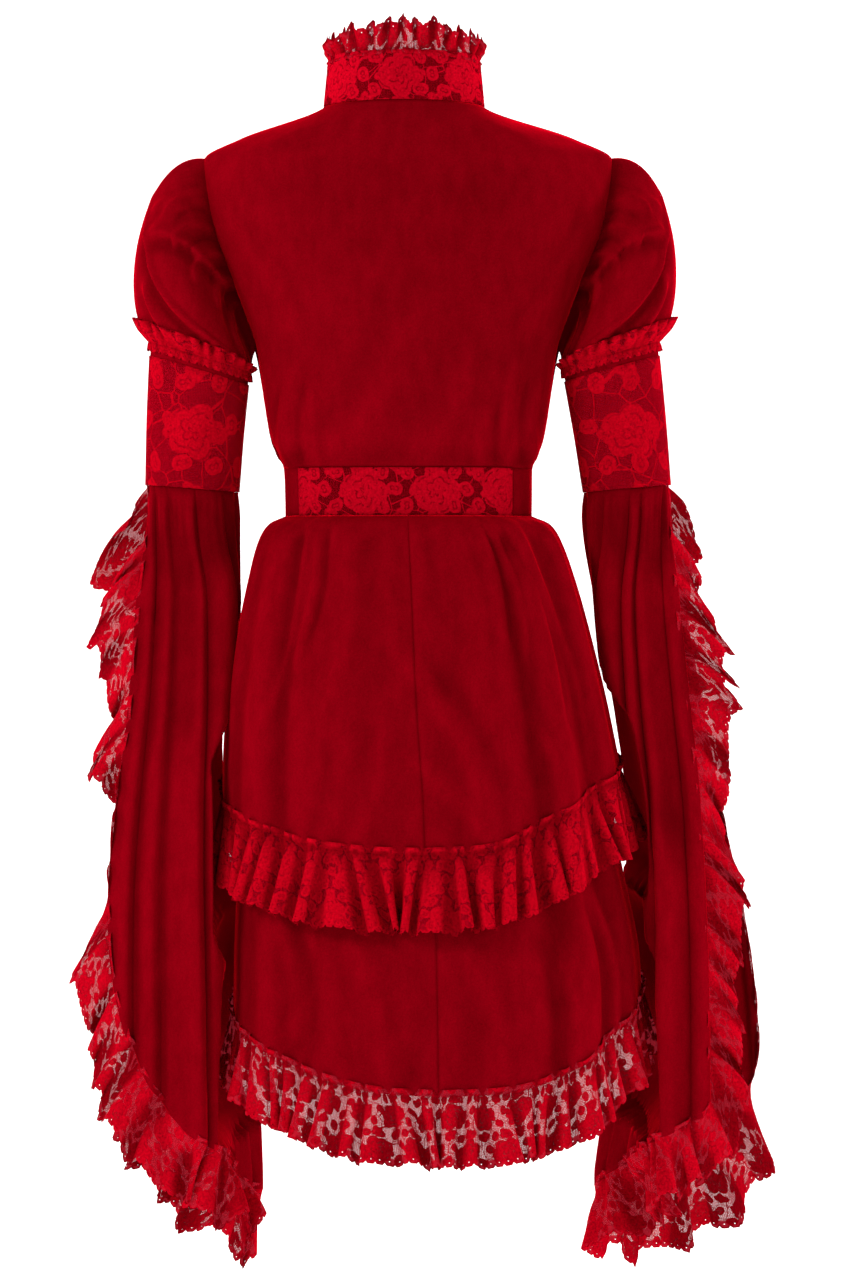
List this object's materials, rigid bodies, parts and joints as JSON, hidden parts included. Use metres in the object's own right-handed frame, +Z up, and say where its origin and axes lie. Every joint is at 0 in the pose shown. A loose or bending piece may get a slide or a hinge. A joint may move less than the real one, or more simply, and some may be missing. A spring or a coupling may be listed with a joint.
{
  "type": "victorian jacket",
  "caption": "Fitted velvet jacket with stand collar, puffed shoulders, pleated open bell sleeves and a tiered high-low skirt, trimmed with lace ruffles, in worn form.",
  "frame": {"origin": "middle of the neck opening, at the collar's seam", "axes": "+Z up along the wearer, -Y out of the wearer's back, +X to the wearer's right"},
  "size_m": [0.7569, 0.3623, 1.2306],
  "materials": {
    "velvet": "soft pile velvet, brighter at grazing angles",
    "lace": "floral lace on a fine net",
    "buttons": "velvet covered"
  },
  "bodies": {
    "root": {"bodice_back": "velvet", "bodice_front_left": "velvet", "bodice_front_right": "velvet", "collar_stand": "velvet", "waistband_back": "velvet", "waistband_left": "velvet", "waistband_right": "velvet", "upper_skirt_back_left": "velvet", "upper_skirt_back_right": "velvet", "upper_skirt_front_left": "velvet", "upper_skirt_front_right": "velvet", "lower_skirt_back_left": "velvet", "lower_skirt_back_right": "velvet", "lower_skirt_front_left": "velvet", "lower_skirt_front_right": "velvet", "puff_left": "velvet", "puff_right": "velvet", "arm_band_left": "velvet", "arm_band_right": "velvet", "bell_left": "velvet", "bell_right": "velvet", "collar_lace": "lace", "collar_ruffle": "lace", "waistband_lace": "lace", "upper_ruffle": "lace", "lower_ruffle": "lace", "arm_lace_left": "lace", "arm_lace_right": "lace", "puff_trim_left": "lace", "puff_trim_right": "lace", "bell_ruffle_left": "lace", "bell_ruffle_right": "lace", "button_1": "buttons", "button_2": "buttons", "button_3": "buttons", "button_4": "buttons", "button_5": "buttons", "button_6": "buttons"}
  },
  "joints": []
}
